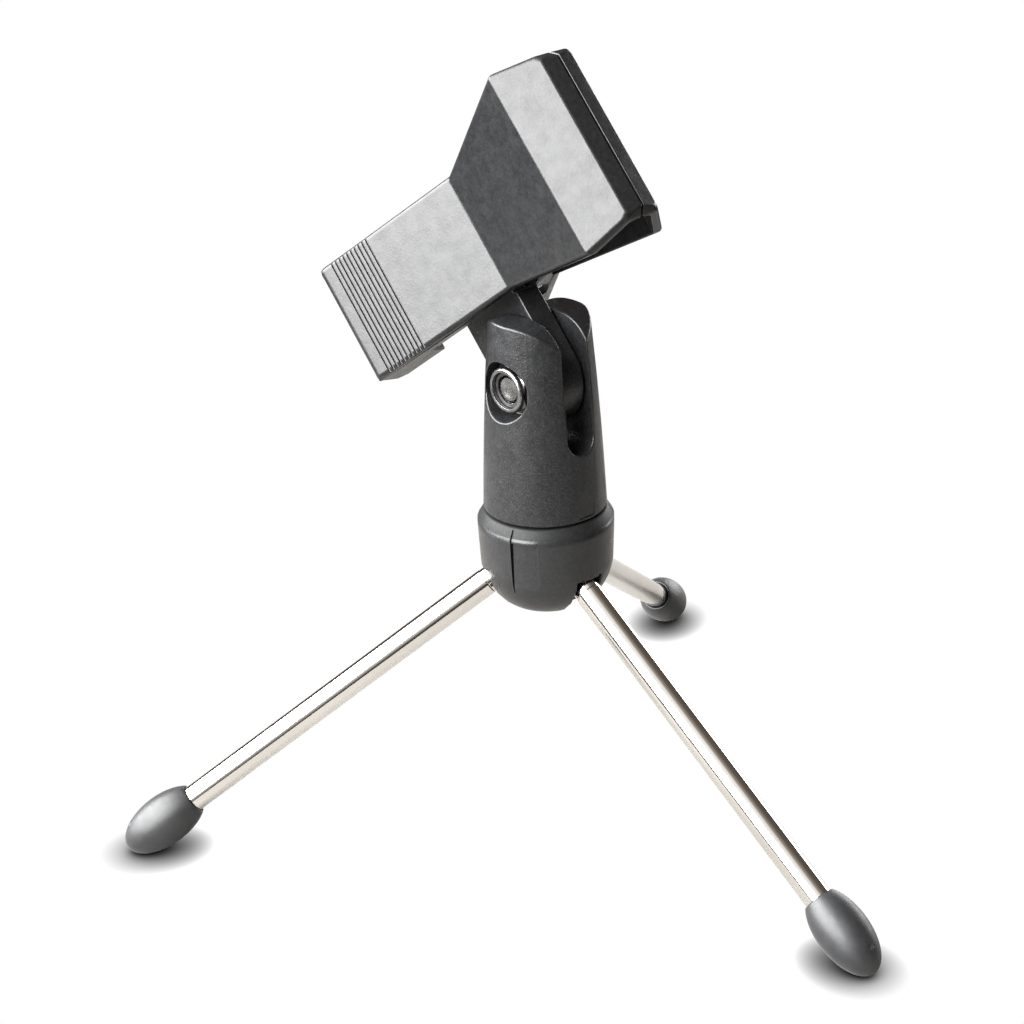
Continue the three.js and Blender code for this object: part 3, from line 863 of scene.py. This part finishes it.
def make_tilt_screw():
    tip = NUT["to"] - 1.2
    shank = turned([
        (0, -CAP["from"] - 0.5),
        (PIVOT_R, -CAP["from"] - 0.5),
        (PIVOT_R, NUT["from"] - 1),
        *thread(PIVOT_R, NUT["from"] - 0.9, tip - 0.6, 0.8, 0.3),
        (PIVOT_R - 0.5, tip),
        (PIVOT_R - 1.1, tip),
        (0, tip - 0.9),
    ], SMALL_ROUND)
    cap = rod(CAP["r"], -CAP["to"], -CAP["from"], 72)
    cut(cap, plate(hexagon(4.6), -CAP["to"] - 1, -CAP["to"] + 2.6))
    softened(cap, 0.3)
    joined(cap, shank)
    piece(across_post(cap), "tilt_screw", "post", "plain_steel", TILT)


def make_nut():
    low, high = NUT["from"], NUT["to"]
    nut = plate(hexagon(NUT["flats"], math.radians(30)), low, high)
    common(nut, turned([
        (0, low),
        (5.7, low),
        (5.7, high - 1.5),
        (5.05, high - 1.1),
        (4.95, high - 0.35),
        (4.6, high),
        (0, high),
    ], 72))
    cut(nut, rod(PIVOT_R + FIT_GAP, 0, 20), rod(4.0, high - 1.6, 20))
    piece(across_post(softened(nut, 0.14, 36, 2)), "lock_nut", "post", "plain_steel", TILT)
    insert = softened(ring(3.9, PIVOT_R + FIT_GAP, high - 1.5, high - 0.95), 0.12)
    piece(across_post(insert), "lock_nut_insert", "post", "nylon", TILT)


# ---------------------------------------------------------------- clip

HANDLE = Vector((WAIST[0] - REAR[0], WAIST[1] - REAR[1]))
HANDLE_ALONG = HANDLE.normalized()
HANDLE_IN = Vector((HANDLE_ALONG.y, -HANDLE_ALONG.x))


def on_handle(along, inward):
    return tuple(Vector(REAR) + HANDLE_ALONG * along + HANDLE_IN * inward)


def handle_end():
    """The round at the back of the handle, from its end face to its outer face."""
    r = JAW_END_R
    return [on_handle(r + x, r - y) for x, y in arc(0, 0, r, math.pi, math.pi / 2, 6)]


def jaw_wall():
    bends = [WAIST, CHEEK, NOSE, LIP]
    inner = offset_line([REAR, *bends], JAW_WALL)
    inner[-1] = (inner[-1][0], LIP_GAP)
    return plate([*handle_end(), *bends, *inner[::-1]], CENTRE_Z - 25, CENTRE_Z + 25)


def jaw_outline():
    """The jaw seen square to its face: narrow along the handle, wide at the mouth."""
    side = [(-20.6, HANDLE_HALF), (WAIST[0], HANDLE_HALF), (CHEEK[0], MOUTH_HALF)]
    side += [(NOSE[0] - 0.9, LIP_HALF + 0.1), (LIP[0], LIP_HALF - 1.5), (60, LIP_HALF - 1.5)]
    top = [(x, CENTRE_Z + half) for x, half in side]
    bottom = [(x, CENTRE_Z - half) for x, half in side[::-1]]
    return moved(plate([*top, *bottom], -40, 40), STAND_UP)


def rounded_rim(jaw):
    """Rounds the edges between the jaw's outer face and its two sides."""
    tidied(jaw)
    work = bmesh.new()
    work.from_mesh(jaw.data)
    weight = work.edges.layers.float.new("bevel_weight_edge")
    for edge in work.edges:
        outward = [face.normal.y > 0.3 for face in edge.link_faces]
        sideways = [abs(face.normal.z) > 0.7 for face in edge.link_faces]
        edge[weight] = float(any(outward) and any(sideways))
    work.to_mesh(jaw.data)
    work.free()
    rim = jaw.modifiers.new("rim", "BEVEL")
    rim.width = JAW_RIM_R
    rim.segments = 5
    rim.limit_method = "WEIGHT"
    rim.use_clamp_overlap = False
    apply_modifiers(jaw)
    return jaw


def jaw_skirt(low, high):
    outline = [
        on_handle(0, 1.4),
        on_handle(27, 1.4),
        on_handle(27, JAW_WALL),
        on_handle(24, 5.4),
        on_handle(13, 5.4),
        on_handle(13, 10.8),
        on_handle(2, 10.8),
        on_handle(0, 8.8),
    ]
    return plate(outline, low, high)


def knuckle(low, high):
    web = plate([
        (HINGE_X - KNUCKLE_R, 0),
        (HINGE_X + KNUCKLE_R, 0),
        (HINGE_X + KNUCKLE_R, 6.2),
        (HINGE_X - KNUCKLE_R, 7.4),
    ], low, high)
    barrel = moved(rod(KNUCKLE_R, low, high), Matrix.Translation((HINGE_X, 0, 0)))
    return joined(barrel, web)


def grip_groove(along):
    """A shallow round-bottomed groove across the handle."""
    width, depth = GROOVES["width"], GROOVES["depth"]
    outline = [on_handle(along - width / 2, -1), on_handle(along + width / 2, -1)]
    for i in range(7):
        angle = math.pi * i / 6
        across = math.cos(angle) * width / 2
        outline.append(on_handle(along + across, depth * math.sin(angle) ** 0.8 - 0.02))
    return plate(outline, 0, 60)


def make_jaw(side):
    near = CENTRE_Z - HANDLE_HALF
    far = CENTRE_Z + HANDLE_HALF
    jaw = jaw_wall()
    rounded_rim(common(jaw, jaw_outline()))
    joined(jaw, jaw_skirt(near, near + 2), jaw_skirt(far - 2, far))
    joined(jaw, *[knuckle(*span) for span in KNUCKLES[side]])
    cut(jaw, moved(rod(PIN_R + RUNNING_GAP, 0, 60), Matrix.Translation((HINGE_X, 0, 0))))
    softened(jaw, 0.36, 24)
    first, pitch = GROOVES["first"], GROOVES["pitch"]
    cut(jaw, *[grip_groove(first + pitch * i) for i in range(GROOVES["count"])])
    if side == "right":
        mirrored(jaw, 1)
    piece(jaw, f"jaw_{side}", f"jaw_{side}", "clip_plastic", CLIP, 30)


def spring_half(z, side):
    """Half of the hinge spring: a coil round the pin, and an arm that lies on one handle."""
    coil_r, wire_r, pitch, turns, arm = 2.6, 0.6, 1.3, 1.25, 13.0
    flip = -1 if side == "right" else 1
    slope = math.atan2(-HANDLE_ALONG.y, HANDLE_ALONG.x) - math.radians(8)
    leave = math.pi / 2 - slope
    steps = round(turns * 40)
    points = []
    for i in range(steps + 1):
        angle = leave + (i - steps) / 40 * 2 * math.pi
        height = z - flip * pitch * (turns - i / 40)
        spot = (HINGE_X + coil_r * math.cos(angle), flip * coil_r * math.sin(angle), height)
        points.append(Vector(spot))
    away = Vector((-math.cos(slope), flip * math.sin(slope), 0))
    points += [points[-1] + away * arm * i / 12 for i in range(1, 13)]
    wire = tube_along(points, wire_r, 16)
    piece(wire, f"hinge_spring_{side}", f"jaw_{side}", "spring_steel", CLIP, 50)


def make_bracket():
    half, thick, end = TONGUE["half"], TONGUE["thick"], TONGUE["end"]
    low = CENTRE_Z - HANDLE_HALF + 0.5
    bracket = moved(plate([
        *arc(0, 0, half, math.pi, 2 * math.pi, 40),
        (half, end),
        (-half + 3, end),
        (-half, end - 3),
    ], -thick / 2, thick / 2), STAND_UP)
    joined(
        bracket,
        moved(rod(KNUCKLE_R, low, end), Matrix.Translation((HINGE_X, 0, 0))),
        block((6, thick, end - low), (9, 0, (end + low) / 2)),
    )
    cut(
        bracket,
        moved(rod(PIVOT_R + RUNNING_GAP, -20, 20), STAND_UP),
        moved(rod(PIN_R + RUNNING_GAP, 0, 60), Matrix.Translation((HINGE_X, 0, 0))),
    )
    softened(bracket, 0.4, 30)
    piece(bracket, "clip_bracket", "bracket", "clip_plastic", CLIP, look="post_plastic")


def make_clip():
    make_bracket()
    for side in ("right", "left"):
        make_jaw(side)
    for side, z in SPRING_Z.items():
        spring_half(z, side)
    at_hinge = Matrix.Translation((HINGE_X, 0, 0))
    pin = softened(moved(rod(PIN_R, *HINGE_PIN), at_hinge), 0.3)
    piece(pin, "hinge_pin", "bracket", "plain_steel", CLIP)
    retainer = softened(moved(ring(2.6, PIN_R + FIT_GAP, 42.8, 43.4, SMALL_ROUND), at_hinge), 0.1)
    piece(retainer, "pin_clip", "bracket", "spring_steel", CLIP)


# ---------------------------------------------------------------- stage, light and camera

CAMERA_AT = Vector((360.57, -326.94, 298.41))  # from the hub's axis on the ground
CAMERA_RIGHT = Vector((0.6729, 0.7388, -0.0373))
CAMERA_FORWARD = Vector((-0.6812, 0.5992, -0.4207))
SOFTBOX_TOWARD = (-0.402, -0.757, 0.515)
BACK_TOWARD = (-0.12, 0.99, 0.07)
GLOW_TOWARD = (-0.16, -0.82, 0.55)
STAND_MIDDLE = Vector((0, 0, 0.09))
LIGHT_DISTANCE = 1.0
LENS = 86.42
SENSOR = 36.0
PAPER_R = 0.29  # metres
PAPER_GREY = (0.222, 0.215, 0.205, 1)
# the floor's painted shadow: how far it reaches, and how sharply it darkens
SHADOW_REACH = 0.0065
SHADOW_POWER = 2.4
ROOM_LEVELS = (
    (0.0, (0.05, 0.043, 0.038)),
    (0.55, (0.13, 0.108, 0.09)),
    (0.74, (0.36, 0.33, 0.3)),
    (0.84, (1.0, 0.98, 0.96)),
)


def make_camera():
    forward = CAMERA_FORWARD.normalized()
    right = (CAMERA_RIGHT - forward * CAMERA_RIGHT.dot(forward)).normalized()
    up = right.cross(forward)
    camera = bpy.data.objects.new("camera", bpy.data.cameras.new("camera"))
    camera.data.lens = LENS
    camera.data.sensor_width = SENSOR
    camera.data.clip_start = 0.01
    camera.data.clip_end = 20
    turn = Matrix((right, up, -forward)).transposed().to_4x4()
    camera.matrix_world = Matrix.Translation(HUB_AXIS + CAMERA_AT * MM) @ turn
    bpy.context.scene.collection.objects.link(camera)
    bpy.context.scene.camera = camera


def make_light(name, toward, size, power):
    """A rectangular softbox in a direction from the stand's middle, facing it."""
    data = bpy.data.lights.new(name, "AREA")
    data.shape = "RECTANGLE"
    data.size, data.size_y = size
    data.energy = power
    light = bpy.data.objects.new(name, data)
    back = Vector(toward).normalized()
    light.location = STAND_MIDDLE + back * LIGHT_DISTANCE
    light.rotation_mode = "QUATERNION"
    light.rotation_quaternion = back.to_track_quat("Z", "Y")
    bpy.context.scene.collection.objects.link(light)


class Nodes:
    """A node tree under construction, for the stage's own materials."""

    def __init__(self, tree):
        self.tree = tree
        tree.nodes.clear()

    def add(self, kind, values=None, **settings):
        node = self.tree.nodes.new(kind)
        for key, value in settings.items():
            setattr(node, key, value)
        for key, value in (values or {}).items():
            node.inputs[key].default_value = value
        return node

    def link(self, output, target):
        self.tree.links.new(output, target)

    def mixed(self, share, first, second):
        """The first shader where the share is 0, and the second where it is 1."""
        mix = self.add("ShaderNodeMixShader")
        self.link(share, mix.inputs["Fac"])
        self.link(first, mix.inputs[1])
        self.link(second, mix.inputs[2])
        return mix.outputs["Shader"]

    def seen_or_lit(self, seen, lit, output):
        """One shader for what the camera sees, and another for what lights the stand."""
        path = self.add("ShaderNodeLightPath")
        shader = self.mixed(path.outputs["Is Camera Ray"], lit, seen)
        self.link(shader, output.inputs["Surface"])


def paper_material():
    """White paper, with a painted shadow where something stands on it.

    The camera sees through the plain paper to the white ground, and the paper's underside lets
    light through, so a folded leg that reaches below the paper stays in sight.
    """
    material = bpy.data.materials.new("floor_look")
    material.use_nodes = True
    nodes = Nodes(material.node_tree)
    paper = nodes.add("ShaderNodeBsdfDiffuse", {"Color": PAPER_GREY})
    clear = nodes.add("ShaderNodeBsdfTransparent")
    dark = nodes.add("ShaderNodeEmission", {"Color": (0, 0, 0, 1)})
    # painted shadow: for the camera the paper turns to black emission where ambient occlusion
    # finds something standing close
    near = nodes.add("ShaderNodeAmbientOcclusion", {"Distance": SHADOW_REACH}, samples=32)
    shade = nodes.add("ShaderNodeMath", {1: SHADOW_POWER}, operation="POWER")
    side = nodes.add("ShaderNodeNewGeometry")
    nodes.link(near.outputs["AO"], shade.inputs[0])
    seen = nodes.mixed(shade.outputs["Value"], dark.outputs["Emission"], clear.outputs["BSDF"])
    lit = nodes.mixed(side.outputs["Backfacing"], paper.outputs["BSDF"], clear.outputs["BSDF"])
    nodes.seen_or_lit(seen, lit, nodes.add("ShaderNodeOutputMaterial"))
    return material


def make_floor():
    mesh = bpy.data.meshes.new("floor")
    rim = [(x, y, 0) for x, y in arc(0, 0, PAPER_R, 0, 2 * math.pi, ROUND)[:-1]]
    mesh.from_pydata(rim, [], [tuple(range(len(rim)))])
    mesh.materials.append(paper_material())
    floor = bpy.data.objects.new("floor", mesh)
    bpy.context.scene.collection.objects.link(floor)


def make_world():
    """A dim room with a bright wall round the softbox."""
    world = bpy.data.worlds.new("room")
    bpy.context.scene.world = world
    world.use_nodes = True
    nodes = Nodes(world.node_tree)
    direction = nodes.add("ShaderNodeTexCoord")
    facing = nodes.add("ShaderNodeVectorMath", {1: GLOW_TOWARD}, operation="DOT_PRODUCT")
    spread = nodes.add("ShaderNodeMapRange", {"From Min": -1})
    shade = nodes.add("ShaderNodeValToRGB")
    while len(shade.color_ramp.elements) < len(ROOM_LEVELS):
        shade.color_ramp.elements.new(0.5)
    for element, (position, colour) in zip(shade.color_ramp.elements, ROOM_LEVELS):
        element.position = position
        element.color = (*colour, 1)
    height = nodes.add("ShaderNodeSeparateXYZ")
    low = nodes.add("ShaderNodeMapRange", {"From Min": 0.0, "From Max": 0.5, "To Min": 0.2})
    dimmed = nodes.add("ShaderNodeBackground")
    white = nodes.add("ShaderNodeBackground", {"Color": (1, 1, 1, 1)})
    output = nodes.add("ShaderNodeOutputWorld")
    nodes.link(direction.outputs["Generated"], facing.inputs[0])
    nodes.link(facing.outputs["Value"], spread.inputs["Value"])
    nodes.link(spread.outputs["Result"], shade.inputs["Fac"])
    nodes.link(direction.outputs["Generated"], height.inputs["Vector"])
    nodes.link(height.outputs["Z"], low.inputs["Value"])
    nodes.link(shade.outputs["Color"], dimmed.inputs["Color"])
    nodes.link(low.outputs["Result"], dimmed.inputs["Strength"])
    nodes.seen_or_lit(white.outputs["Background"], dimmed.outputs["Background"], output)


def make_studio():
    bpy.context.scene.view_settings.view_transform = "Standard"
    make_camera()
    make_floor()
    make_world()
    make_light("left_softbox", SOFTBOX_TOWARD, (2.1, 1.02), 116)
    make_light("back_softbox", BACK_TOWARD, (0.9, 0.42), 7.5)


# ---------------------------------------------------------------- the stand

make_studio()
make_hub()
for leg in LEGS:
    make_leg(leg)
make_post()
make_clip()
